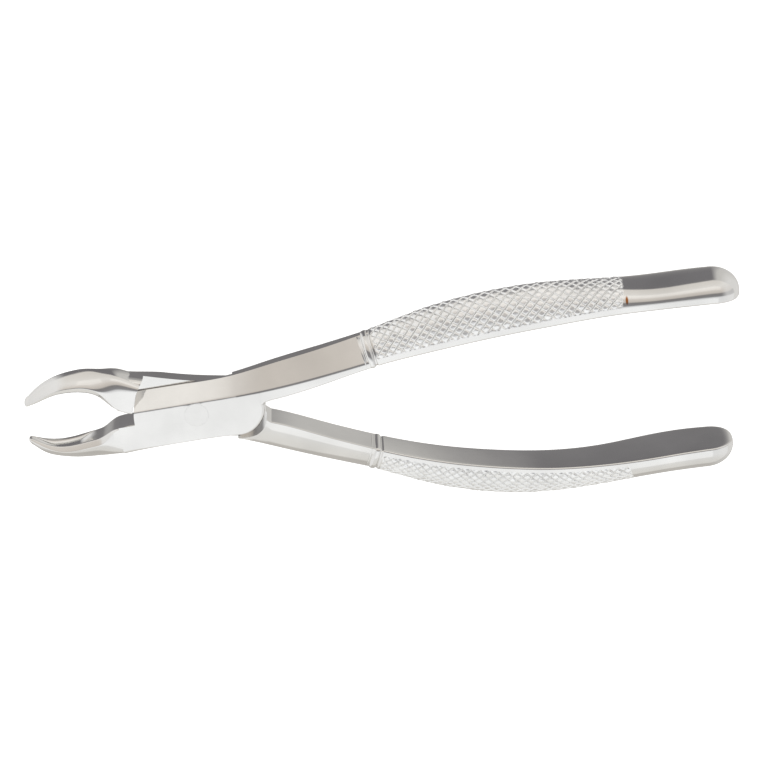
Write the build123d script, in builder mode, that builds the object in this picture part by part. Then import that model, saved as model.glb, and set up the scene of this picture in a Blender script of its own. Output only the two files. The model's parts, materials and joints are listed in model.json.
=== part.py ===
from build123d import *
import os
from math import cos, radians, sin, sqrt

# Extraction forceps: two forged steel halves that cross in a lap joint and turn on one flush rivet.
# Origin: on the pivot axis, on the plane where the two laps meet. +Z is the pivot axis, +X points
# towards the beaks. Each half is drawn in its own frame as it lies when the forceps are closed:
# beak on the +Y side, handle on the -Y side, its lap in the upper (+Z) layer.

# ---- Overall sizes (mm) ----
front_reach = 138.0  # pivot to the end of the front half's handle
rear_reach = 135.5  # pivot to the end of the rear half's handle
beak_reach = 43.0  # pivot to the beak tips
rest_opening = 10.5  # angle between the halves at rest, in degrees; 0 is closed

# ---- Lap joint ----
joint_width = 14.8
joint_thickness = 8.0
lap_gap = 0.14  # running gap between the two mating faces
beak_side_radius = 15.6  # lap end on the beak side
handle_side_radius = 17.2  # lap end on the handle side
shoulder_clearance = 0.35  # lap end to the other half's shoulder
lap_corner_share = 0.46
lap_corner_radius = lap_corner_share * joint_width  # rounded outer corner of the lap
ridge_offset = 3.3  # pivot to the crease between the flat face and the bevel
bevel_edge_height = 0.5  # thickness left at the outer edge of the bevel

# ---- Pivot rivet ----
pin_radius = 2.4
head_radius = 3.0
head_angle = 90.0
running_clearance = 0.06  # rivet to the turning half

# ---- Shank, between joint and ferrule ----
shank_strip = 3.2  # height of the narrow outer strip
ferrule_place = 45.6  # pivot to the ferrule
ferrule_length = 1.8
ferrule_rise = 0.45

# ---- Grip and beak ----
grip_side = 1.6  # flat side next to the inner face
handle_end_radius = 3.2
end_angles = [0, 30, 60, 80]  # sections that round the handle's end, in degrees
beak_root = 11.8  # pivot to the beak's first section, inside the lap
hollow_depth = 1.3  # hollow of the beak
hollow_rim = 0.9  # rim left on each side of the hollow
hollow_stations = slice(3, -1)  # the beak's stations that the hollow runs through

# Shank stations as shares of ferrule_place, then grip stations as shares of the grip's length.
shank_stations = [0.20, 0.45, 0.72, 1.0]
grip_stations = [0.0, 0.155, 0.35, 0.515, 0.67, 0.78, 0.89, 1.0]
shank_widths = [8.1, 8.2, 8.5, 8.8]
shank_sides = [3.3, 2.9, 2.3, 1.7]  # flat side next to the inner face
grip_widths = [8.8, 9.4, 10.2, 10.9, 12.2, 13.8, 13.9, 12.8]

# Distance of the inner face from the centre line of the closed forceps, and thickness, of each half.
front_handle = {
    "reach": front_reach,
    "shank_inner": [0.0, 0.8, 2.7, 5.2],
    "shank_thickness": [8.0, 8.6, 8.5, 8.2],
    "grip_inner": [5.2, 6.8, 8.2, 8.9, 9.4, 9.4, 8.9, 8.0],
    "grip_thickness": [8.2, 9.8, 10.5, 9.6, 7.4, 6.3, 6.5, 6.9],
}
rear_handle = {
    "reach": rear_reach,
    "shank_inner": [0.2, 2.1, 5.6, 9.0],
    "shank_thickness": [7.8, 7.9, 7.4, 7.0],
    "grip_inner": [9.0, 11.7, 13.4, 13.5, 12.0, 10.1, 8.2, 6.9],
    "grip_thickness": [7.0, 8.2, 9.2, 8.5, 7.3, 6.9, 7.1, 7.2],
}

# Stations along a beak, as shares of the way from beak_root to beak_reach, with its width and flat side.
beak_stations = [0.0, 0.21, 0.305, 0.39, 0.50, 0.64, 0.78, 0.90, 1.0]
beak_widths = [7.8, 7.9, 7.9, 7.8, 7.6, 7.1, 5.9, 3.9, 1.8]
beak_sides = [5.5, 5.0, 3.2, 1.6, 0.8, 0.4, 0.3, 0.2, 0.15]
front_beak = {
    "inner": [0.2, 0.2, 0.8, 2.2, 2.9, 3.4, 3.2, 1.9, 0.2],
    "thickness": [6.9, 7.0, 6.8, 5.9, 5.3, 4.4, 3.6, 3.2, 1.6],
}
rear_beak = {
    "inner": [0.2, 0.6, 2.2, 4.2, 5.4, 5.3, 4.0, 1.8, 0.2],
    "thickness": [6.9, 8.2, 7.2, 5.9, 4.8, 4.0, 3.9, 3.6, 1.8],
}


class LapOutline(BaseSketchObject):
    """Face with parallel sides whose two ends are arcs about the pivot."""

    def __init__(self, radius_beak, radius_handle, half_width, mode=Mode.ADD):
        beak_corner = sqrt(radius_beak**2 - half_width**2)
        handle_corner = sqrt(radius_handle**2 - half_width**2)
        with BuildSketch() as outline:
            with BuildLine():
                ThreePointArc((beak_corner, -half_width), (radius_beak, 0), (beak_corner, half_width))
                Line((beak_corner, half_width), (-handle_corner, half_width))
                ThreePointArc(
                    (-handle_corner, half_width), (-radius_handle, 0), (-handle_corner, -half_width)
                )
                Line((-handle_corner, -half_width), (beak_corner, -half_width))
            make_face()
        super().__init__(obj=outline.sketch, align=None, mode=mode)


class LapRoom(BaseSketchObject):
    """Outline of the room for the other half's lap: its two ends plus the shoulder clearance."""

    def __init__(self, mode=Mode.ADD):
        beak_radius = beak_side_radius + shoulder_clearance
        handle_radius = handle_side_radius + shoulder_clearance
        corner_radius = lap_corner_radius + shoulder_clearance
        corner_centre_y = lap_corner_radius - joint_width / 2
        corner_centre_x = -sqrt((handle_side_radius - lap_corner_radius) ** 2 - corner_centre_y**2)
        corner_centre = Vector(corner_centre_x, corner_centre_y)
        shoulder_start = Vector(-handle_radius, 0)
        corner_start = corner_centre.normalized() * handle_radius
        shoulder_middle = (shoulder_start + corner_start).normalized() * handle_radius
        corner_end = corner_centre - Vector(0, corner_radius)
        outward = corner_start + corner_end - 2 * corner_centre
        corner_middle = corner_centre + outward.normalized() * corner_radius
        beak_corner = beak_radius / sqrt(2)
        far_side = 2 * joint_width
        with BuildSketch() as outline:
            with BuildLine():
                ThreePointArc((beak_corner, -beak_corner), (beak_radius, 0), (beak_corner, beak_corner))
                Polyline(
                    (beak_corner, beak_corner),
                    (beak_corner, far_side),
                    (-handle_radius, far_side),
                    shoulder_start,
                )
                ThreePointArc(shoulder_start, shoulder_middle, corner_start)
                ThreePointArc(corner_start, corner_middle, corner_end)
                Polyline(
                    corner_end,
                    (corner_centre_x, -far_side),
                    (beak_corner, -far_side),
                    (beak_corner, -beak_corner),
                )
            make_face()
        super().__init__(obj=outline.sketch, align=None, mode=mode)


def handle_planes(handle):
    """Planes across a handle at its stations: local x points outward, local y is +Z."""
    grip_length = handle["reach"] - handle_end_radius - ferrule_place
    shank = [-share * ferrule_place for share in shank_stations]
    grip = [-ferrule_place - share * grip_length for share in grip_stations]
    offsets = handle["shank_inner"] + handle["grip_inner"][1:]
    points = [(x, -inner) for x, inner in zip(shank + grip[1:], offsets)]
    with BuildLine():
        curve = Spline(*points)
    planes = []
    for point in points:
        tangent = curve.tangent_at(curve.param_at_point(point))
        planes.append(Plane(origin=point, x_dir=Vector(0, 0, 1).cross(tangent), z_dir=tangent))
    last_shank = len(shank_stations)
    return planes[:last_shank], planes[last_shank - 1 :]


def beak_planes(beak):
    """Planes across a beak at its stations: local x points outward, local y is +Z."""
    planes = []
    for share, inner in zip(beak_stations, beak["inner"]):
        place = beak_root + share * (beak_reach - beak_root)
        planes.append(Plane(origin=(place, inner, 0), x_dir=(0, 1, 0), z_dir=(1, 0, 0)))
    return planes


class ShankSection(BaseSketchObject):
    """Flat inner face, flat sides, bevels and a narrow outer strip."""

    def __init__(self, width, thickness, side, mode=Mode.ADD):
        top = width / 2
        strip = shank_strip / 2
        with BuildSketch() as section:
            with BuildLine():
                Polyline(
                    (0, -top),
                    (0, top),
                    (side, top),
                    (thickness, strip),
                    (thickness, -strip),
                    (side, -top),
                    close=True,
                )
            make_face()
        super().__init__(obj=section.sketch, align=None, mode=mode)


class RoundedSection(BaseSketchObject):
    """Flat inner face, short flat sides and a convex outside. A negative grow insets the whole outline."""

    def __init__(self, width, thickness, side, grow=0.0, mode=Mode.ADD):
        top = width / 2 + grow
        side_end = side if grow >= 0 else side / 2 - grow
        with BuildSketch() as section:
            with BuildLine():
                Line((-grow, -top), (-grow, top))
                Line((-grow, top), (side_end, top))
                EllipticalCenterArc((side_end, 0), thickness + grow - side_end, top, -90, arc_size=180)
                Line((side_end, -top), (-grow, -top))
            make_face()
        super().__init__(obj=section.sketch, align=None, mode=mode)


def make_half(handle, beak, bore_clearance):
    """One forged half in its own closed frame."""
    shank_planes, grip_planes = handle_planes(handle)
    half_width = joint_width / 2
    # Lap plate, bevelled on the handle's outer side.
    with BuildPart() as lap:
        with BuildSketch(Plane.XY.offset(-lap_gap)):
            LapOutline(beak_side_radius, handle_side_radius, half_width)
        extrude(amount=joint_thickness / 2 + lap_gap)
        free_corner = lap.edges().filter_by(Axis.Z).sort_by(Axis.Y)[-2:].sort_by(Axis.X)[0]
        fillet(free_corner, radius=lap_corner_radius)
        with BuildSketch(Plane.YZ.offset(-handle_side_radius)):
            with BuildLine():
                Polyline(
                    (-ridge_offset, joint_thickness / 2),
                    (-half_width, bevel_edge_height),
                    (-joint_width, bevel_edge_height),
                    (-joint_width, joint_thickness),
                    (-ridge_offset, joint_thickness),
                    close=True,
                )
            make_face()
        extrude(amount=2 * handle_side_radius, mode=Mode.SUBTRACT)
    with BuildPart() as half:
        add(lap.part)
        # Shank, from inside the joint to the ferrule.
        for plane, width, side, thickness in zip(
            shank_planes, shank_widths, shank_sides, handle["shank_thickness"]
        ):
            with BuildSketch(plane):
                ShankSection(width, thickness, side)
        loft()
        # Grip, from the ferrule to the rounded end.
        for plane, width, thickness in zip(grip_planes, grip_widths, handle["grip_thickness"]):
            with BuildSketch(plane):
                RoundedSection(width, thickness, grip_side)
        loft()
        for angle in end_angles:
            inset = handle_end_radius * (1 - cos(radians(angle)))
            with BuildSketch(grip_planes[-1].offset(handle_end_radius * sin(radians(angle)))):
                RoundedSection(grip_widths[-1], handle["grip_thickness"][-1], grip_side, -inset)
        loft()
        # Ferrule, a raised ring where the grip starts.
        with BuildSketch(grip_planes[0]):
            RoundedSection(grip_widths[0], handle["grip_thickness"][0], grip_side, ferrule_rise)
        extrude(amount=ferrule_length / 2, both=True)
        # Beak.
        planes = beak_planes(beak)
        for plane, width, side, thickness in zip(planes, beak_widths, beak_sides, beak["thickness"]):
            with BuildSketch(plane):
                RoundedSection(width, thickness, side)
        loft()
        # Hollow of the beak.
        for plane, width in zip(planes[hollow_stations], beak_widths[hollow_stations]):
            with BuildSketch(plane):
                Ellipse(hollow_depth * width / beak_widths[0], width / 2 - hollow_rim)
        loft(mode=Mode.SUBTRACT)
        # Room for the other half's lap.
        with BuildSketch(Plane.XY.offset(lap_gap / 2)):
            LapRoom()
        extrude(amount=-joint_thickness, mode=Mode.SUBTRACT)
        with Locations((0, 0, joint_thickness / 2)):
            CounterSinkHole(
                radius=pin_radius + bore_clearance,
                counter_sink_radius=head_radius + bore_clearance,
                counter_sink_angle=head_angle,
            )
    return half


os.makedirs("parts", exist_ok=True)

closed_front = make_half(front_handle, front_beak, running_clearance)
closed_rear = make_half(rear_handle, rear_beak, 0.0)

with BuildPart() as front_half:
    add(closed_front.part.rotate(Axis.Z, rest_opening / 2))
front_half.part.label = "front_half"
export_step(front_half.part, "parts/front_half.step")

with BuildPart() as rear_half:
    add(closed_rear.part.rotate(Axis.Z, rest_opening / 2).rotate(Axis.X, 180))
rear_half.part.label = "rear_half"
export_step(rear_half.part, "parts/rear_half.step")

with BuildPart() as pivot_rivet:
    with BuildSketch(Plane.XZ):
        with BuildLine():
            Polyline(
                (0, -joint_thickness / 2),
                (head_radius, -joint_thickness / 2),
                (pin_radius, -joint_thickness / 2 + head_radius - pin_radius),
                (pin_radius, joint_thickness / 2 - head_radius + pin_radius),
                (head_radius, joint_thickness / 2),
                (0, joint_thickness / 2),
                close=True,
            )
        make_face()
    revolve(axis=Axis.Z)
pivot_rivet.part.label = "pivot_rivet"
export_step(pivot_rivet.part, "parts/pivot_rivet.step")
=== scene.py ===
"""Extraction forceps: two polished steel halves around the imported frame.

Each half is built in millimetres as it lies when the forceps are closed (beak on +Y, handle on -Y,
lap on +Z), then turned to where the half rests and scaled to metres.
"""
import json
from math import asin, atan2, cos, degrees, hypot, pi, radians, sin, sqrt

import bmesh
import bpy
import numpy as np
from mathutils import Matrix, Vector


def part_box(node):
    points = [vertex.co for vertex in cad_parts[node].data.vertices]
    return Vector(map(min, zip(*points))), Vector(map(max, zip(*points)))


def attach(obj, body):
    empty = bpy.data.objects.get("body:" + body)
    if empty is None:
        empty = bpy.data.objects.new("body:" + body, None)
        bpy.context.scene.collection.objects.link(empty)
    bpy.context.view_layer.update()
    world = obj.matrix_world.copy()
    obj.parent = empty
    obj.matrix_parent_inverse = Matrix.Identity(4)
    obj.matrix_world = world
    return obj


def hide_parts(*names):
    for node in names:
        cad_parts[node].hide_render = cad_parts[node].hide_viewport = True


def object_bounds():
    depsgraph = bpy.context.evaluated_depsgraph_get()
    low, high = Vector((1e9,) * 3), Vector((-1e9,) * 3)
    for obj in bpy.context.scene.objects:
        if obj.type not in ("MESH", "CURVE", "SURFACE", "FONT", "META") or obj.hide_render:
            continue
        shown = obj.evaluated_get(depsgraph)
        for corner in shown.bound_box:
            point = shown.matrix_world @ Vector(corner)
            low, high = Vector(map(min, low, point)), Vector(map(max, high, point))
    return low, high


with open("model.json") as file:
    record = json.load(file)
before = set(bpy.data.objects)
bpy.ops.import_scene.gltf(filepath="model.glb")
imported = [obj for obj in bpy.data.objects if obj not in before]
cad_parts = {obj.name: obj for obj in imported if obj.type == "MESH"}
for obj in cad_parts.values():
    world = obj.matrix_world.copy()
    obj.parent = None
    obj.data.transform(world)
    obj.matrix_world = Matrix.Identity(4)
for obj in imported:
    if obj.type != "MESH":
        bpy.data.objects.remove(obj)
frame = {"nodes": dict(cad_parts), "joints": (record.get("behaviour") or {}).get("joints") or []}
cad_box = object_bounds()

MM = 0.001

# ---- Read from the frame ----
REST_OPENING = -frame["joints"][0]["range_deg"][0]
JOINT_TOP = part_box("pivot_rivet")[1].z / MM


def to_rest(half):
    """From the closed frame, in millimetres, to where the half rests, in metres."""
    flip = Matrix.Rotation(pi, 4, "X") if half == "rear_half" else Matrix.Identity(4)
    return Matrix.Scale(MM, 4) @ flip @ Matrix.Rotation(radians(REST_OPENING / 2), 4, "Z")


def closed_span(half):
    """Lowest and highest x of a CAD half in its closed frame."""
    back = to_rest(half).inverted()
    along = [(back @ v.co).x for v in frame["nodes"][half].data.vertices]
    return min(along), max(along)


# ---- Joint (mm) ----
HALF_WIDTH = 7.4
LAP_GAP = 0.14
BEAK_SIDE_RADIUS = 15.6
HANDLE_SIDE_RADIUS = 17.2
SHOULDER_CLEARANCE = 0.35
LAP_CORNER_RADIUS = 6.8
RIDGE_OFFSET = 3.3
BORE_RADIUS = 2.45
HEAD_RADIUS = 3.02
BEAK_ROOT = 19.7
LAP_END_ROW = HANDLE_SIDE_RADIUS + 0.6
SHANK_FIRST_ROW = LAP_END_ROW + 0.9
LAP_END_REACH = 0.2
LAP_END_BEVEL = 0.9
SHOULDER_BEVEL = 1.1
ON_ARC = 0.02  # how near a point is to an arc that it lies on
EDGE_ROUNDING = 0.24
RIDGE_SOFTNESS = 0.45
BEVELLED_ABOVE = 0.5  # radians between the faces of an edge
ROUNDED_ABOVE = radians(17)
SHARP_ABOVE = radians(40)

# Section of the joint and shank, which is rounder at the lap's end and towards the beak root.
BAR_ROUNDING = 0.3
LAP_END_ROUNDING = 0.7
LAP_END_ROUNDS = (10, 13)
LAP_END_FADE = 1.2
ROOT_ROUNDS_FROM = 8
ROOT_THINS = (9, 13)
ROOT_UNDER_ROUNDING = 1.5
ROOT_THINNING = 0.8
UNDERSIDE_SHARES = (0.25, 0.38, 0.52, 0.67, 0.8, 0.91)
UNDERSIDE_POWER = 2.4
QUARTER_TURN = [radians(90 * step / 6) for step in range(7)]

# ---- Shank and grip (mm) ----
FERRULE_PLACE = 45.6
FERRULE_RISE = 0.2
FERRULE_GROOVE = 0.26
FERRULE_HALF = 0.6
FERRULE_STEP = 0.12
GROOVE_LENGTH = 0.8
SHANK_OVERLAP = 0.4
KNURL_TO_SMOOTH = 0.4
SLOPE_STEP = 0.01
GRIP_LEAD = 1.6
GRIP_SIDE = 1.6
GRIP_CORNER = 0.45
GRIP_CORNER_ANGLES = (22, 45, 67, 90)
CROWN = 0.12
HANDLE_END_RADIUS = 3.2
END_LENGTH = 7.0
END_MIDDLE = 0.2
END_INSET = 0.5
END_STEPS = 22
END_WIDTH_POWER = 2.3
END_OUTER_POWER = 2.0
END_INNER_POWER = 5

# ---- Knurl ----
KNURL_START = 47.3
KNURL_END = 108.2
KNURL_END_BULGE = 1.5
KNURL_OVERRUN = 0.6
KNURL_FADE = 0.3
STRIP_FADE = 0.15
GROOVE_DEPTHS = (0.36, 0.2)
DIAMONDS_AROUND = 10
CELLS_PER_DIAMOND = 12
CELLS_AROUND = DIAMONDS_AROUND * CELLS_PER_DIAMOND
PITCH_TO_GIRTH = 0.105
GROOVE_SHARE = 0.13
DIAMOND_CROWN = 0.04
DIAMOND_UNEVENNESS = 0.12
DIAMOND_TILT = 0.7
SMOOTH = -1.0  # phase of a row without knurl

# Stations from the joint to the ferrule, as distance towards the handle's end. The joint's half
# widths and heights hold at the first ones.
JOINT_AT = [-22, -10, 0]
SHANK_AT = [9.12, 20.5, 32.8, 45.6]
SHANK_SIDES = [2.9, 2.3, 1.7]
SHANK_TOPS = [4.08, 4.22, 4.38]
SIDE_STRIPS = [0.45, 0.5, 0.7, 1.0, 1.35, 1.3, 0.85]
SHANK_BULGE = 0.3
LAP_END_SWEEP = 1.2

# Guide stations past the ferrule for the shank, and before it for the grip, so that they run on.
SHANK_GUIDE_AT = 55.0
SHANK_GUIDE_DROP = 0.4
GRIP_GUIDE_AT = 30.0
GRIP_GUIDE_WIDTH = 8.5

# Stations along a grip, as shares of its length.
GRIP_SHARES = [0.0, 0.155, 0.35, 0.515, 0.67, 0.78, 0.89, 1.0]
GRIP_WIDTHS = [8.8, 9.4, 10.2, 10.9, 12.2, 13.8, 13.9, 12.8]

# Stations of the joint's outline on the beak's side, up to the beak root.
SIDE_OUTLINE_AT = [-10.0, -5.0, 2.5, 12.0]

# Stations along a beak, as shares of the way from its first section to its tip.
BEAK_FROM = 11.8
BEAK_SHARES = [0.0, 0.21, 0.305, 0.39, 0.50, 0.64, 0.78, 0.90, 1.0]
BEAK_WIDTHS = [7.9, 7.94, 7.94, 7.85, 7.6, 7.1, 5.9, 3.9, 1.9]
BEAK_SIDES = [5.5, 5.0, 3.2, 1.8, 1.5, 1.3, 1.1, 0.8, 0.4]
BEAK_LEAD = 0.7
BEAK_SIDE_LIMIT = 0.7
BEAK_ROWS = 150
BEAK_CAP = 0.9
BEAK_CAP_ROWS = 10
BEAK_CAP_CLOSING = 0.995

# Where a beak's hollow, its rim's bevel and its wedge shape set in, as x, or for HOLLOW_CLOSES as the
# distance to the tip, and their sizes. The bevel and the lip have these widths where the beak's half
# width is FULL_HALF_WIDTH, and shrink with it.
HOLLOW_OPENS = (25, 31)
HOLLOW_CLOSES = (0.2, 6.0)
HOLLOW_DEPTH = 1.35
HOLLOW_TIP_DEPTH = 0.25
BEVEL_OPENS = (19.5, 25)
BEVEL_AT_ROOT = 0.15
BEVEL_GROWTH = 0.65
BEVEL_SLOPE = 1.8
LIP_WIDTH = 0.35
FULL_HALF_WIDTH = 3.9
WEDGE_OPENS = (19, 27)

# Sizes that differ between the halves. The lists go with the stations above: shank_inner with
# SHANK_AT, shank_thickness with its last three, grip_thickness with GRIP_SHARES, grip_inner with its
# second to last, the beak's with BEAK_SHARES, and side_outline with SIDE_OUTLINE_AT and BEAK_ROOT.
HALVES = {
    "front_half": {
        "body": "front",
        "shank_inner": [0.0, 0.8, 2.7, 5.2],
        "shank_thickness": [8.6, 8.5, 8.2],
        "grip_inner": [6.8, 8.2, 8.9, 9.4, 9.4, 8.9, 8.0],
        "grip_thickness": [8.2, 9.8, 10.5, 9.6, 7.4, 6.3, 6.5, 6.9],
        "beak_inner": [0.2, 0.2, 0.8, 2.2, 2.9, 3.4, 3.2, 1.9, 0.2],
        "beak_thickness": [6.9, 7.5, 7.4, 6.4, 5.6, 4.6, 3.7, 3.2, 1.6],
        "side_outline": [7.4, 7.1, 7.0, 7.15, 7.7],
        "root_rounding": 0.7,
        "beak_wedge": (0.5, 1.5),
        "smooth_strip": 1.7,
    },
    "rear_half": {
        "body": "rear",
        "shank_inner": [0.2, 2.1, 5.6, 9.0],
        "shank_thickness": [7.9, 7.4, 7.0],
        "grip_inner": [11.7, 13.4, 13.5, 12.0, 10.1, 8.2, 6.9],
        "grip_thickness": [7.0, 8.2, 9.2, 8.5, 7.3, 6.9, 7.1, 7.2],
        "beak_inner": [0.2, 0.6, 2.2, 4.2, 5.4, 5.3, 4.0, 1.8, 0.2],
        "beak_thickness": [6.9, 9.2, 8.3, 6.4, 5.3, 4.6, 4.2, 3.7, 1.8],
        "side_outline": [7.4, 7.4, 7.65, 8.6, 9.6],
        "root_rounding": 2.8,
        "beak_wedge": (0.75, 1.5),
        "smooth_strip": 1.1,
    },
}


# ---- Curves and meshes ----
def curve_through(places, values):
    """Natural cubic spline through the given values, as a function of place."""
    order = np.argsort(places)
    x, y = np.array(places, float)[order], np.array(values, float)[order]
    count, h = len(x), np.diff(x)
    rows, right = np.eye(count), np.zeros(count)
    for i in range(1, count - 1):
        rows[i, i - 1 : i + 2] = h[i - 1], 2 * (h[i - 1] + h[i]), h[i]
        right[i] = 6 * ((y[i + 1] - y[i]) / h[i] - (y[i] - y[i - 1]) / h[i - 1])
    bend = np.linalg.solve(rows, right)

    def at(p):
        i = np.clip(np.searchsorted(x, p) - 1, 0, count - 2)
        u, v = (x[i + 1] - p) / h[i], (p - x[i]) / h[i]
        return u * y[i] + v * y[i + 1] + ((u**3 - u) * bend[i] + (v**3 - v) * bend[i + 1]) * h[i] ** 2 / 6

    return at


def ease(p, start, end):
    """0 at start, 1 at end, smooth between."""
    t = np.clip((p - start) / (end - start), 0, 1)
    return t * t * (3 - 2 * t)


def mesh_object(name, points, faces):
    mesh = bpy.data.meshes.new(name)
    mesh.from_pydata([tuple(p) for p in points], [], faces)
    made = bmesh.new()
    made.from_mesh(mesh)
    bmesh.ops.recalc_face_normals(made, faces=made.faces)
    made.to_mesh(mesh)
    made.free()
    thing = bpy.data.objects.new(name, mesh)
    bpy.context.scene.collection.objects.link(thing)
    return thing


def skin(name, loops, heights=None):
    """Closed surface over a grid of loops, capped at both ends. Where heights are given, each cell is
    split along the diagonal that lies lower, so a groove stays straight."""
    rows, columns = loops.shape[:2]
    index = np.arange(rows * columns).reshape(rows, columns)
    a, b = index[:-1], np.roll(index[:-1], -1, 1)
    d, c = index[1:], np.roll(index[1:], -1, 1)
    if heights is None:
        faces = np.stack([a, b, c, d], 2).reshape(-1, 4).tolist()
    else:
        low = heights.reshape(-1)
        across = low[a] + low[c] <= low[b] + low[d]
        first = np.where(across[..., None], np.stack([a, b, c], 2), np.stack([a, b, d], 2))
        second = np.where(across[..., None], np.stack([a, c, d], 2), np.stack([b, c, d], 2))
        faces = np.concatenate([first.reshape(-1, 3), second.reshape(-1, 3)]).tolist()
    faces.append(index[0, ::-1].tolist())
    faces.append(index[-1].tolist())
    thing = mesh_object(name, loops.reshape(-1, 3), faces)
    if heights is not None:
        cut = low != 0
        for face in thing.data.polygons:
            face.material_index = int(any(cut[v] for v in face.vertices))
    return thing


def prism(name, outline, low, high):
    """Straight solid over an outline in the XY plane."""
    count = len(outline)
    points = [(x, y, low) for x, y in outline] + [(x, y, high) for x, y in outline]
    faces = [list(range(count))[::-1], list(range(count, 2 * count))]
    faces += [[i, (i + 1) % count, count + (i + 1) % count, count + i] for i in range(count)]
    return mesh_object(name, points, faces)


def arc(centre, radius, start, end, steps):
    """Points on an arc, with angles in degrees."""
    angles = np.radians(np.linspace(start, end, steps + 1))
    return [(centre[0] + radius * cos(t), centre[1] + radius * sin(t)) for t in angles]


def settle(thing):
    """Replaces an object's mesh with what its modifiers make of it."""
    bpy.context.view_layer.update()
    evaluated = thing.evaluated_get(bpy.context.evaluated_depsgraph_get())
    made = bpy.data.meshes.new_from_object(evaluated)
    thing.modifiers.clear()
    thing.data = made


def combine(thing, tool, operation):
    """Boolean of thing with tool, which is then removed."""
    step = thing.modifiers.new("combine", "BOOLEAN")
    step.operation = operation
    step.solver = "EXACT"
    step.object = tool
    settle(thing)
    bpy.data.objects.remove(tool)


def bevel_where(thing, chosen, width, segments):
    """Rounds the edges whose two ends are both chosen."""
    made = bmesh.new()
    made.from_mesh(thing.data)
    edges = []
    for edge in made.edges:
        if all(chosen(v.co) for v in edge.verts) and edge.calc_face_angle(0) > BEVELLED_ABOVE:
            edges.append(edge)
    bmesh.ops.bevel(
        made, geom=edges, offset=width, segments=segments, affect="EDGES", profile=0.5, clamp_overlap=True
    )
    made.to_mesh(thing.data)
    made.free()


def left_of(points):
    """Unit vectors to the left of a run of points in a plane."""
    along = np.gradient(points, axis=0)
    along /= np.linalg.norm(along, axis=1)[:, None]
    return np.stack([-along[:, 1], along[:, 0]], 1)


# ---- Joint block and shank ----
def lap_corner():
    """Centre of the lap's rounded free corner, and its direction from the pivot in degrees."""
    y = HALF_WIDTH - LAP_CORNER_RADIUS
    x = -sqrt((HANDLE_SIDE_RADIUS - LAP_CORNER_RADIUS) ** 2 - y * y)
    return x, y, degrees(atan2(y, x))


def room_outline():
    """Room for the other half's lap."""
    x, y, turn = lap_corner()
    beak_side = BEAK_SIDE_RADIUS + SHOULDER_CLEARANCE
    handle_side = HANDLE_SIDE_RADIUS + SHOULDER_CLEARANCE
    corner = LAP_CORNER_RADIUS + SHOULDER_CLEARANCE
    far = 4 * HALF_WIDTH
    edge = beak_side * cos(radians(45))
    points = arc((0, 0), beak_side, -45, 45, 24) + [(edge, far), (-handle_side, far)]
    points += arc((0, 0), handle_side, 180, 360 - turn, 16)
    points += arc((x, -y), corner, 360 - turn, 270, 14)[1:]
    return points + [(x, -far), (edge, -far)]


def end_outline():
    """The free end of the lap on the beak's side, clear of the other half's beak."""
    top = degrees(asin(LAP_END_REACH / BEAK_SIDE_RADIUS))
    points = arc((0, 0), BEAK_SIDE_RADIUS, -60, top, 26)
    far = 2 * BEAK_ROOT
    return points + [(far, LAP_END_REACH), (far, -far), (points[0][0], -far)]


def upper_outline(size):
    """Points (x, y, row) of the bar's upper inner outline, from the beak root round the lap's end to
    the ferrule. The outer side of a section lies at x = row."""
    corner_x, corner_y, turn = lap_corner()
    guide = size["grip_inner"][0] - SHANK_GUIDE_DROP
    inner_at = curve_through(SHANK_AT + [SHANK_GUIDE_AT], size["shank_inner"] + [guide])
    side_at = curve_through(SIDE_OUTLINE_AT + [BEAK_ROOT], size["side_outline"])
    outline = [(x, side_at(x), x) for x in np.linspace(BEAK_ROOT, SIDE_OUTLINE_AT[0], 40)]
    lap_end = arc((corner_x, corner_y), LAP_CORNER_RADIUS, 90, turn, 14)
    lap_end += arc((0, 0), HANDLE_SIDE_RADIUS, turn, 180 + size["shank_inner"][1] * LAP_END_SWEEP, 10)[1:]
    for i, (x, y) in enumerate(lap_end):
        share = i / (len(lap_end) - 1)
        outline.append((x, y, corner_x + share * (-LAP_END_ROW - corner_x)))
    for distance in np.linspace(SHANK_FIRST_ROW, FERRULE_PLACE + SHANK_OVERLAP, 30):
        outline.append((-distance, -float(inner_at(distance)), -distance))
    return outline


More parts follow.
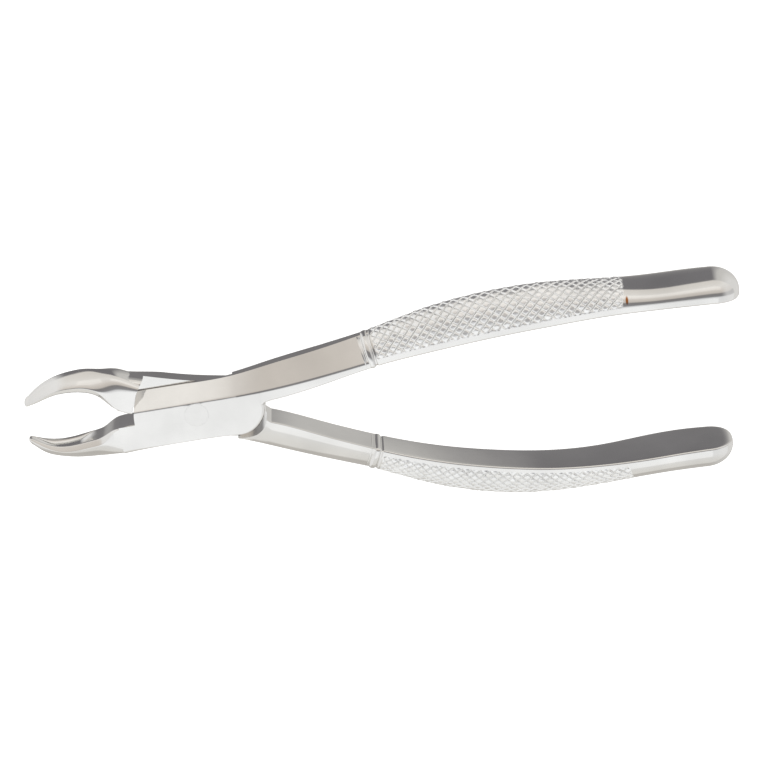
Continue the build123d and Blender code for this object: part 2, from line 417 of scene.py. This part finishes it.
def bar(size):
    """The joint at full height and the shank, as one run of sections."""
    stations = JOINT_AT + SHANK_AT
    outer = [i + t for i, t in zip(size["shank_inner"][1:], size["shank_thickness"])]
    ridge = [i + side for i, side in zip(size["shank_inner"][1:], SHANK_SIDES)]
    outer_at = curve_through(stations, [HALF_WIDTH] * 3 + [HALF_WIDTH + SHANK_BULGE] + outer)
    ridge_at = curve_through(stations, [RIDGE_OFFSET] * 4 + ridge)
    top_at = curve_through(stations, [JOINT_TOP] * 4 + SHANK_TOPS)
    strip_at = curve_through(stations, SIDE_STRIPS)
    outline = upper_outline(size)
    normals = -left_of(np.array([(x, y) for x, y, _ in outline]))
    lap_end = (-LAP_END_ROW, -LAP_END_ROW + LAP_END_FADE)
    loops = []
    for (x, y, row), normal in zip(outline, normals):
        top, strip = float(top_at(-row)), float(strip_at(-row))
        crest, side = -float(ridge_at(-row)), -float(outer_at(-row))
        at_root = float(ease(row, *ROOT_THINS))
        upper = BAR_ROUNDING + size["root_rounding"] * float(ease(row, ROOT_ROUNDS_FROM, BEAK_ROOT))
        upper += LAP_END_ROUNDING * float(ease(-row, *LAP_END_ROUNDS)) * float(ease(row, *lap_end))
        lower = BAR_ROUNDING + ROOT_UNDER_ROUNDING * at_root
        under = top - ROOT_THINNING * at_root
        loop = []
        for angle in QUARTER_TURN:
            inset = upper * (1 - sin(angle))
            loop.append((x - normal[0] * inset, y - normal[1] * inset, top - upper * (1 - cos(angle))))
        for angle in QUARTER_TURN:
            inset = lower * (1 - cos(angle))
            loop.append((x - normal[0] * inset, y - normal[1] * inset, -under + lower * (1 - sin(angle))))
        for share in UNDERSIDE_SHARES:
            fall = 1 - share**UNDERSIDE_POWER
            loop.append((row, y + (side - y) * share, -(strip + (under - strip) * fall)))
        loop.append((row, side, -strip))
        loop.append((row, side, strip))
        length = hypot(side - crest, strip - top)
        down = ((side - crest) / length * RIDGE_SOFTNESS, (strip - top) / length * RIDGE_SOFTNESS)
        loop.append((row, crest + down[0], top + down[1]))
        loop.append((row, crest + (down[0] + RIDGE_SOFTNESS) / 4, top + down[1] / 4))
        loop.append((row, crest + RIDGE_SOFTNESS, top))
        loops.append(loop)
    return skin("bar", np.array(loops, float))


def block(half):
    """The shank, the joint with its lap cut free, and the beak, as one forging."""
    forged = bar(HALVES[half])
    combine(forged, prism("clear", end_outline(), -10, 10), "DIFFERENCE")
    combine(forged, beak(half), "UNION")
    combine(forged, prism("room", room_outline(), -20, LAP_GAP / 2), "DIFFERENCE")
    combine(forged, rivet_hole(), "DIFFERENCE")
    shoulder = HANDLE_SIDE_RADIUS + SHOULDER_CLEARANCE
    corner = LAP_CORNER_RADIUS + SHOULDER_CLEARANCE
    corner_x, corner_y, _ = lap_corner()

    def on_lap_end(p):
        """Above the mating face, up to the corner that LAP_END_REACH leaves."""
        return abs(hypot(p.x, p.y) - BEAK_SIDE_RADIUS) < ON_ARC and p.z > 0.4 and p.y < 0.3

    def on_shoulder(p):
        """On the far side of the mating face, round the room for the other half's lap."""
        on_arc = abs(hypot(p.x, p.y) - shoulder) < ON_ARC and p.y > -corner_y - 3
        on_corner = abs(hypot(p.x - corner_x, p.y + corner_y) - corner) < ON_ARC
        return (on_arc or on_corner) and p.z < -1.5 and p.x < corner_x

    bevel_where(forged, on_lap_end, LAP_END_BEVEL, 3)
    bevel_where(forged, on_shoulder, SHOULDER_BEVEL, 3)
    rounding = forged.modifiers.new("rounding", "BEVEL")
    rounding.width = EDGE_ROUNDING
    rounding.segments = 2
    rounding.limit_method = "ANGLE"
    rounding.angle_limit = ROUNDED_ABOVE
    settle(forged)
    return forged


def rivet_hole():
    """Countersunk bore for the rivet."""
    steps = 64
    depth = HEAD_RADIUS - BORE_RADIUS
    profile = [(BORE_RADIUS, -1), (BORE_RADIUS, JOINT_TOP - depth), (HEAD_RADIUS + 1, JOINT_TOP + 1)]
    turns = [2 * pi * i / steps for i in range(steps)]
    loops = [[(r * cos(t), r * sin(t), z) for t in turns] for r, z in profile]
    return skin("bore", np.array(loops))


# ---- Grip ----
def outside(width, thickness):
    """Outer outline of a grip section, evenly divided, from its upper to its lower inner corner, and
    its length."""
    top = width / 2
    angle = np.linspace(pi / 2, -pi / 2, 241)
    curve = np.stack([GRIP_SIDE + (thickness - GRIP_SIDE) * np.cos(angle), top * np.sin(angle)], 1)
    line = np.concatenate([[[GRIP_CORNER, top]], curve, [[GRIP_CORNER, -top]]])
    length = np.concatenate([[0], np.cumsum(np.hypot(*np.diff(line, axis=0).T))])
    even = np.linspace(0, length[-1], CELLS_AROUND + 1)
    return np.stack([np.interp(even, length, line[:, k]) for k in (0, 1)], 1), length[-1]


def inside(width):
    """Inner face of a grip section with its rounded corners, from the lower to the upper corner."""
    top = width / 2 - GRIP_CORNER
    angles = np.radians(GRIP_CORNER_ANGLES)
    lower = [(GRIP_CORNER * (1 - sin(t)), -top - GRIP_CORNER * cos(t)) for t in angles]
    face = [(-CROWN * (1 - (z / top) ** 2), z) for z in np.linspace(-top, top, 13)[1:-1]]
    upper = [(q, -z) for q, z in lower[::-1]]
    return np.array(lower + face + upper)


def scatter(cells, k):
    """A number from -0.5 to 0.5 that differs from diamond to diamond and never from run to run."""
    value = np.sin(cells[0] * (12.9898 + k) + cells[1] * (78.233 - 5 * k)) * 43758.5453
    return value - np.floor(value) - 0.5


def knurl(around, along):
    """Height of the knurl where a deep and a shallow family of grooves cross, with diamonds that
    differ a little in height and tilt."""
    families = (along - around, along + around)
    cells = [np.floor(family) for family in families]
    height, crown, tilt = 0.0, 1.0, 0.0
    for k, (family, cell, depth) in enumerate(zip(families, cells, GROOVE_DEPTHS)):
        from_middle = family - cell - 0.5
        height = np.minimum(height, -depth * np.clip(1 - (0.5 - abs(from_middle)) / GROOVE_SHARE, 0, 1))
        crown = crown * np.cos(pi * from_middle)
        tilt = tilt + scatter(cells, k) * from_middle
    return height + crown * (DIAMOND_CROWN + DIAMOND_UNEVENNESS * scatter(cells, 1) + DIAMOND_TILT * tilt)


def knurled_rows(width_at, thickness_at):
    """Places and phases of the knurl's rows, with a whole number of cells to each diamond."""
    places, phases = [KNURL_START], [0.0]
    while places[-1] < KNURL_END + KNURL_END_BULGE + KNURL_OVERRUN:
        here = places[-1]
        girth = outside(float(width_at(here)), float(thickness_at(here)))[1]
        places.append(here + PITCH_TO_GIRTH * girth / CELLS_PER_DIAMOND)
        phases.append(phases[-1] + 1 / CELLS_PER_DIAMOND)
    return places, phases


def knurl_rise(place, phase, girth, strip):
    """Height of the knurl round a section, faded out at its two ends and beside the inner face."""
    cell = np.arange(CELLS_AROUND + 1)
    share = cell / CELLS_AROUND
    from_edge = np.minimum(cell, CELLS_AROUND - cell) * girth / CELLS_AROUND
    end = KNURL_END + KNURL_END_BULGE * np.sin(pi * share)
    mask = ease(from_edge, strip - STRIP_FADE, strip + STRIP_FADE)
    mask = mask * ease(end - place, 0.0, KNURL_FADE) * ease(place, KNURL_START, KNURL_START + KNURL_FADE)
    return mask * knurl(share * DIAMONDS_AROUND, phase)


def ferrule_rise(place):
    """Height of the ferrule's bead and of the shallow groove on each side of it."""
    off = place - FERRULE_PLACE
    past = abs(off) - FERRULE_HALF
    if past < 0:
        return FERRULE_RISE * sqrt(1 - (off / FERRULE_HALF) ** 2)
    if 0 < past < GROOVE_LENGTH:
        return -FERRULE_GROOVE * sin(pi * past / GROOVE_LENGTH)
    return 0.0


def towards_tip(loop, thickness, ahead):
    """A grip section as it is at a share of the way into the rounded end."""
    narrow, outer, inner = [
        (1 - ahead**power) ** (1 / power) for power in (END_WIDTH_POWER, END_OUTER_POWER, END_INNER_POWER)
    ]
    middle = END_MIDDLE * thickness
    q = loop[:, 0] - middle
    return np.stack([middle + np.where(q > 0, q * outer, q * inner), loop[:, 1] * narrow], 1)


def grip(half):
    """Handle from the ferrule to its rounded end."""
    size = HALVES[half]
    reach = -closed_span(half)[0]
    length = reach - HANDLE_END_RADIUS - FERRULE_PLACE
    grip_at = [FERRULE_PLACE + share * length for share in GRIP_SHARES]
    inner_at = curve_through(SHANK_AT + grip_at[1:], size["shank_inner"] + size["grip_inner"])
    width_at = curve_through([GRIP_GUIDE_AT] + grip_at, [GRIP_GUIDE_WIDTH] + GRIP_WIDTHS)
    thicknesses = [size["shank_thickness"][1]] + size["grip_thickness"]
    thickness_at = curve_through([GRIP_GUIDE_AT] + grip_at, thicknesses)
    # Rows as (place, phase of the knurl, way into the tip): ferrule, knurl, smooth end, rounded tip.
    cap_start = reach - END_LENGTH - END_INSET
    knurled = list(zip(*knurled_rows(width_at, thickness_at)))
    ferrule = np.arange(FERRULE_PLACE - GRIP_LEAD, KNURL_START, FERRULE_STEP)
    smooth = np.linspace(knurled[-1][0] + KNURL_TO_SMOOTH, cap_start, 50)
    rows = [(place, SMOOTH, 0.0) for place in ferrule]
    rows += [(place, phase, 0.0) for place, phase in knurled]
    rows += [(place, SMOOTH, 0.0) for place in smooth]
    rows += [(cap_start, SMOOTH, k / END_STEPS) for k in range(1, END_STEPS + 1)]
    loops, heights = [], []
    for place, phase, tip in rows:
        width, thickness = float(width_at(place)), float(thickness_at(place))
        outer, girth = outside(width, thickness)
        rise = np.zeros(CELLS_AROUND + 1)
        if phase >= 0:
            rise = knurl_rise(place, phase, girth, size["smooth_strip"])
        ring = ferrule_rise(place)
        outer = outer + left_of(outer) * (rise + ring)[:, None]
        inner = inside(width) - np.array([ring, 0])
        loop = np.concatenate([outer, inner])
        ahead = sin(tip * pi / 2)
        if tip:
            loop = towards_tip(loop, thickness, ahead)
        slope = float(inner_at(place + SLOPE_STEP) - inner_at(place - SLOPE_STEP)) / (2 * SLOPE_STEP)
        out = np.array([slope, -1]) / hypot(slope, 1)
        base = np.array([-place, -float(inner_at(place))]) + END_LENGTH * ahead * np.array([out[1], -out[0]])
        loops.append(np.concatenate([base + loop[:, :1] * out, loop[:, 1:]], 1))
        heights.append(np.concatenate([rise, np.zeros(len(inner))]))
    return skin("grip", np.array(loops), np.array(heights))


# ---- Beak ----
def beak_section(half_width, thickness, side, bevel, depth, wedge):
    """Closed section of a beak, as (distance from the inner line, z)."""
    lip = half_width - bevel - LIP_WIDTH * half_width / FULL_HALF_WIDTH
    hollow = []
    for z in lip * np.sin(np.linspace(-pi / 2, pi / 2, 33)):
        hollow.append((depth * sqrt(max(0, 1 - (z / lip) ** 2)), z))
    rim = [(-0.02, lip + 0.3 * (half_width - bevel - lip)), (0.02, half_width - bevel)]
    band = [(bevel * BEVEL_SLOPE * t, half_width - bevel * (1 - t)) for t in (0.25, 0.5, 0.75, 1.0)]
    outer = []
    for t in np.linspace(0, pi / 2, 28):
        outer.append((side + (thickness - side) * sin(t) ** wedge, half_width * max(0, cos(t)) ** wedge))
    upper = hollow[16:] + rim + band + outer
    lower = [(q, -z) for q, z in upper[1:-1][::-1]]
    return np.array(upper + lower)


def beak(half):
    """Hollow beak from inside the joint block to its tip."""
    size = HALVES[half]
    reach = closed_span(half)[1]
    at = [BEAK_FROM + share * (reach - BEAK_FROM) for share in BEAK_SHARES]
    inner_at, thickness_at = curve_through(at, size["beak_inner"]), curve_through(at, size["beak_thickness"])
    width_at, side_at = curve_through(at, BEAK_WIDTHS), curve_through(at, BEAK_SIDES)
    wedge_root, wedge_tip = size["beak_wedge"]
    cap_from = reach - BEAK_CAP
    places = np.append(np.linspace(BEAK_FROM + BEAK_LEAD, cap_from, BEAK_ROWS), [cap_from] * BEAK_CAP_ROWS)
    tips = np.append(np.zeros(BEAK_ROWS), np.linspace(0.1, 1.0, BEAK_CAP_ROWS))
    loops = []
    for place, tip in zip(places, tips):
        half_width, thickness = width_at(place) / 2, thickness_at(place)
        opened = ease(place, *HOLLOW_OPENS)
        depth = HOLLOW_DEPTH * opened * ease(reach - place, *HOLLOW_CLOSES) + HOLLOW_TIP_DEPTH * opened
        bevel = BEVEL_AT_ROOT + BEVEL_GROWTH * ease(place, *BEVEL_OPENS)
        bevel = bevel * half_width / FULL_HALF_WIDTH
        side = min(max(side_at(place), bevel * BEVEL_SLOPE), BEAK_SIDE_LIMIT * thickness)
        wedge = wedge_root + (wedge_tip - wedge_root) * float(ease(place, *WEDGE_OPENS))
        loop = beak_section(half_width, thickness, side, bevel, depth, wedge)
        if tip:
            shrink = cos(tip * pi / 2 * BEAK_CAP_CLOSING)
            middle = thickness / 2
            loop = np.stack([middle + (loop[:, 0] - middle) * shrink, loop[:, 1] * shrink], 1)
        x = place + BEAK_CAP * sin(tip * pi / 2)
        y = inner_at(x) + loop[:, 0]
        loops.append(np.stack([np.full(len(loop), x), y, loop[:, 1]], 1))
    return skin("beak", np.array(loops, float))


# ---- Materials ----
# The one rust spot, on top of the front grip where its knurl ends: its middle and half sizes in mm,
# in the shared frame at rest.
RUST_PLACE = (-108.2, -22.8, 5.5)
RUST_RADII = (0.45, 1.3, 1.5)
RUST_COLOUR = (0.35, 0.13, 0.035, 1)
SMUDGE_DARKNESS = 0.9
SCRATCH_STRETCH = (60, 900, 900)
SCRATCH_DEPTH = 0.00004
WAVE_DEPTH = 0.0003


def node(tree, kind, place, **values):
    made = tree.nodes.new(kind)
    made.location = place
    for key, value in values.items():
        setattr(made, key, value)
    return made


def noise(tree, vector, place, scale, detail):
    made = node(tree, "ShaderNodeTexNoise", place)
    made.inputs["Scale"].default_value = scale
    made.inputs["Detail"].default_value = detail
    tree.links.new(vector, made.inputs["Vector"])
    return made.outputs["Fac"]


def bump(tree, height, place, strength, depth):
    made = node(tree, "ShaderNodeBump", place)
    made.inputs["Strength"].default_value = strength
    made.inputs["Distance"].default_value = depth
    tree.links.new(height, made.inputs["Height"])
    return made


def rust_spot(tree, place):
    """1 inside the rust spot and 0 outside it, with a soft edge."""
    away = node(tree, "ShaderNodeVectorMath", (-900, 500), operation="SUBTRACT")
    away.inputs[1].default_value = [p * MM for p in RUST_PLACE]
    tree.links.new(place, away.inputs[0])
    shape = node(tree, "ShaderNodeVectorMath", (-750, 500), operation="MULTIPLY")
    shape.inputs[1].default_value = [1 / (MM * r) for r in RUST_RADII]
    tree.links.new(away.outputs["Vector"], shape.inputs[0])
    distance = node(tree, "ShaderNodeVectorMath", (-600, 500), operation="LENGTH")
    tree.links.new(shape.outputs["Vector"], distance.inputs[0])
    spot = node(tree, "ShaderNodeMapRange", (-450, 500))
    spot.inputs["From Min"].default_value = 1.0
    spot.inputs["From Max"].default_value = 0.6
    tree.links.new(distance.outputs["Value"], spot.inputs["Value"])
    return spot.outputs["Result"]


def steel(name, tint, roughness, waviness):
    """Hand-polished stainless steel: soft waviness, fine scratches, faint smudges and the rust spot."""
    material = bpy.data.materials.new(name)
    material.use_nodes = True
    tree = material.node_tree
    links = tree.links
    shader = tree.nodes["Principled BSDF"]
    shader.inputs["Metallic"].default_value = 1.0
    place = node(tree, "ShaderNodeTexCoord", (-1300, 0)).outputs["Object"]
    stretch = node(tree, "ShaderNodeMapping", (-1100, -200))
    stretch.inputs["Scale"].default_value = SCRATCH_STRETCH
    links.new(place, stretch.inputs["Vector"])
    scratches = noise(tree, stretch.outputs["Vector"], (-900, -200), 4.0, 6.0)
    waves = noise(tree, place, (-900, -500), 140.0, 2.0)
    smudges = noise(tree, place, (-900, 200), 90.0, 5.0)
    tone = node(tree, "ShaderNodeValToRGB", (-600, 300))
    dark, bright = tone.color_ramp.elements
    dark.position, bright.position = 0.3, 0.7
    dark.color = (*[c * SMUDGE_DARKNESS for c in tint], 1)
    bright.color = (*tint, 1)
    links.new(smudges, tone.inputs["Fac"])
    rusted = node(tree, "ShaderNodeMix", (-250, 400), data_type="RGBA")
    rusted.inputs["B"].default_value = RUST_COLOUR
    links.new(rust_spot(tree, place), rusted.inputs["Factor"])
    links.new(tone.outputs["Color"], rusted.inputs["A"])
    links.new(rusted.outputs["Result"], shader.inputs["Base Color"])
    rough = node(tree, "ShaderNodeMapRange", (-600, 0))
    rough.inputs["To Min"].default_value = roughness * 0.6
    rough.inputs["To Max"].default_value = roughness * 1.6
    links.new(scratches, rough.inputs["Value"])
    links.new(rough.outputs["Result"], shader.inputs["Roughness"])
    fine = bump(tree, scratches, (-400, -200), 0.05, SCRATCH_DEPTH)
    broad = bump(tree, waves, (-200, -400), waviness, WAVE_DEPTH)
    links.new(fine.outputs["Normal"], broad.inputs["Normal"])
    links.new(broad.outputs["Normal"], shader.inputs["Normal"])
    return material


# ---- Build ----
def finish_mesh(thing, half, materials):
    """Turns a piece to where its half rests, shades it, and puts it on its body."""
    thing.data.transform(to_rest(half))
    made = bmesh.new()
    made.from_mesh(thing.data)
    for face in made.faces:
        face.smooth = True
    for edge in made.edges:
        edge.smooth = edge.calc_face_angle(0) < SHARP_ABOVE
    made.to_mesh(thing.data)
    made.free()
    for material in materials:
        thing.data.materials.append(material)
    weights = thing.modifiers.new("weights", "WEIGHTED_NORMAL")
    weights.keep_sharp = True
    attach(thing, HALVES[half]["body"])
    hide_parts(half)


polished = steel("polished_steel", tint=(0.80, 0.79, 0.77), roughness=0.1, waviness=0.06)
knurled = steel("knurled_steel", tint=(0.96, 0.96, 0.95), roughness=0.3, waviness=0.04)
rivet_finish = steel("rivet_steel", tint=(0.79, 0.78, 0.76), roughness=0.11, waviness=0.06)

for half in HALVES:
    for part, label, materials in (
        (block(half), "joint", [polished]),
        (grip(half), "grip", [polished, knurled]),
    ):
        part.name = f"{half}_{label}"
        finish_mesh(part, half, materials)

rivet = frame["nodes"]["pivot_rivet"]
rivet.data.materials.clear()
rivet.data.materials.append(rivet_finish)


# ---- Stage (metres) ----
FIELD = 0.192
DISTANCE = 0.75
SENSOR_WIDTH = 36
TILT = radians(25)
ROLL = radians(4.4)
TARGET = Vector((-0.0472, -0.0027, 0))
LIT_POINT = Vector((-0.05, 0, 0))
FLOOR_HALF = 3.0
FLOOR_GAP = 0.0002
PAPER_GLOW = 0.75

# Colours of the tent by direction, from -1 to 1 along one axis.
ABOVE_BY_Y = [
    (-1.0, (0.82, 0.79, 0.75)), (-0.8, (0.94, 0.92, 0.89)), (-0.6, (0.84, 0.80, 0.76)),
    (-0.44, (0.74, 0.69, 0.64)), (-0.28, (0.66, 0.62, 0.58)), (-0.18, (0.26, 0.25, 0.25)),
    (0.14, (0.28, 0.28, 0.29)), (0.26, (0.86, 0.87, 0.89)), (0.45, (0.94, 0.95, 0.96)),
    (1.0, (0.86, 0.85, 0.82)),
]
BELOW_BY_Y = [
    (-0.6, (0.21, 0.205, 0.215)), (-0.2, (0.25, 0.245, 0.25)), (0.3, (0.5, 0.49, 0.47)),
    (0.9, (0.6, 0.58, 0.55)),
]
# Shares of the light patch, the white sides and the upper half, as greys.
PATCH_BY_X = [(-0.5, (1, 1, 1)), (-0.3, (0.9, 0.9, 0.9)), (-0.2, (0.4, 0.4, 0.4)), (-0.12, (0, 0, 0))]
SIDES_BY_X = [(-0.75, (0.55, 0.55, 0.55)), (-0.45, (0, 0, 0)), (0.4, (0, 0, 0)), (0.6, (0.9, 0.9, 0.9))]
UPPER_BY_Z = [(-0.06, (0, 0, 0)), (0.02, (1, 1, 1))]
PATCH_COLOUR = (0.7, 0.69, 0.67, 1)
SIDES_COLOUR = (1, 1, 1, 1)


def make_camera():
    """Long lens above the forceps, tilted from the pivot axis, with the beaks on the left."""
    data = bpy.data.cameras.new("camera")
    data.sensor_width = SENSOR_WIDTH
    data.lens = data.sensor_width * DISTANCE / FIELD
    data.clip_start = 0.05
    camera = bpy.data.objects.new("camera", data)
    bpy.context.scene.collection.objects.link(camera)
    back = Vector((0, -sin(TILT), cos(TILT)))
    down_table = Vector((0, cos(TILT), sin(TILT)))
    right = Vector((-cos(ROLL), 0, 0)) + sin(ROLL) * down_table
    up = Vector((-sin(ROLL), 0, 0)) - cos(ROLL) * down_table
    turn = Matrix((right, up, back)).transposed().to_4x4()
    camera.matrix_world = Matrix.Translation(TARGET + DISTANCE * back) @ turn
    bpy.context.scene.camera = camera


def make_floor():
    """White paper just under the forceps, kept out of the steel's reflections."""
    low = cad_box[0].z - FLOOR_GAP
    signs = ((-1, -1), (1, -1), (1, 1), (-1, 1))
    floor = mesh_object("floor", [(x * FLOOR_HALF, y * FLOOR_HALF, low) for x, y in signs], [[0, 1, 2, 3]])
    paper = bpy.data.materials.new("white_paper")
    paper.use_nodes = True
    shader = paper.node_tree.nodes["Principled BSDF"]
    shader.inputs["Base Color"].default_value = (0.9, 0.9, 0.9, 1)
    shader.inputs["Roughness"].default_value = 0.9
    shader.inputs["Specular IOR Level"].default_value = 0.1
    shader.inputs["Emission Color"].default_value = (1, 1, 1, 1)
    shader.inputs["Emission Strength"].default_value = PAPER_GLOW
    floor.data.materials.append(paper)
    floor.visible_glossy = False


def ramp(tree, direction, stops, at):
    """Colours along one component of a direction, which runs from -1 to 1."""
    made = node(tree, "ShaderNodeMapRange", (at[0] - 200, at[1]))
    made.inputs["From Min"].default_value = -1
    made.inputs["From Max"].default_value = 1
    tree.links.new(direction, made.inputs["Value"])
    colours = node(tree, "ShaderNodeValToRGB", at)
    elements = colours.color_ramp.elements
    while len(elements) < len(stops):
        elements.new(0.5)
    for element, (position, colour) in zip(elements, stops):
        element.position = (position + 1) / 2
        element.color = (*colour, 1)
    tree.links.new(made.outputs["Result"], colours.inputs["Fac"])
    return colours.outputs["Color"]


def plain(tree, colour, at):
    made = node(tree, "ShaderNodeRGB", at)
    made.outputs[0].default_value = colour
    return made.outputs[0]


def mix(tree, factor, first, second, at):
    made = node(tree, "ShaderNodeMix", at, data_type="RGBA")
    tree.links.new(factor, made.inputs["Factor"])
    tree.links.new(first, made.inputs["A"])
    tree.links.new(second, made.inputs["B"])
    return made.outputs["Result"]


def make_world():
    """Light tent, warmer towards -Y, with a dark band overhead, white sides towards both ends, and
    dark grey with a light patch on the -X side below the table's edge."""
    world = bpy.data.worlds.new("tent")
    bpy.context.scene.world = world
    world.use_nodes = True
    tree = world.node_tree
    background = tree.nodes["Background"]
    place = node(tree, "ShaderNodeTexCoord", (-1400, 0))
    split = node(tree, "ShaderNodeSeparateXYZ", (-1200, 0))
    tree.links.new(place.outputs["Generated"], split.inputs["Vector"])
    x, y, z = [split.outputs[axis] for axis in "XYZ"]
    above = ramp(tree, y, ABOVE_BY_Y, (-800, 300))
    below = ramp(tree, y, BELOW_BY_Y, (-800, 0))
    patch = ramp(tree, x, PATCH_BY_X, (-800, -300))
    sides = ramp(tree, x, SIDES_BY_X, (-800, -700))
    upper = ramp(tree, z, UPPER_BY_Z, (-800, 600))
    below = mix(tree, patch, below, plain(tree, PATCH_COLOUR, (-800, -500)), (-500, -100))
    tent = mix(tree, upper, below, above, (-350, 100))
    tent = mix(tree, sides, tent, plain(tree, SIDES_COLOUR, (-800, -900)), (-150, 100))
    tree.links.new(tent, background.inputs["Color"])
    background.inputs["Strength"].default_value = 1.0


def make_light(name, place, size, power, colour):
    """Softbox that faces the forceps."""
    data = bpy.data.lights.new(name, "AREA")
    data.shape = "RECTANGLE"
    data.size, data.size_y = size
    data.energy = power
    data.color = colour
    light = bpy.data.objects.new(name, data)
    light.location = place
    light.rotation_euler = (LIT_POINT - Vector(place)).to_track_quat("-Z", "Y").to_euler()
    bpy.context.scene.collection.objects.link(light)


make_camera()
make_floor()
make_world()
make_light("softbox_front", (0.0, 0.6, 1.0), (0.9, 0.5), 0.25, (0.95, 0.98, 1.0))
make_light("softbox_back", (-0.2, -0.9, 0.8), (1.0, 0.4), 0.15, (1.0, 0.97, 0.92))
bpy.context.scene.view_settings.view_transform = "Standard"
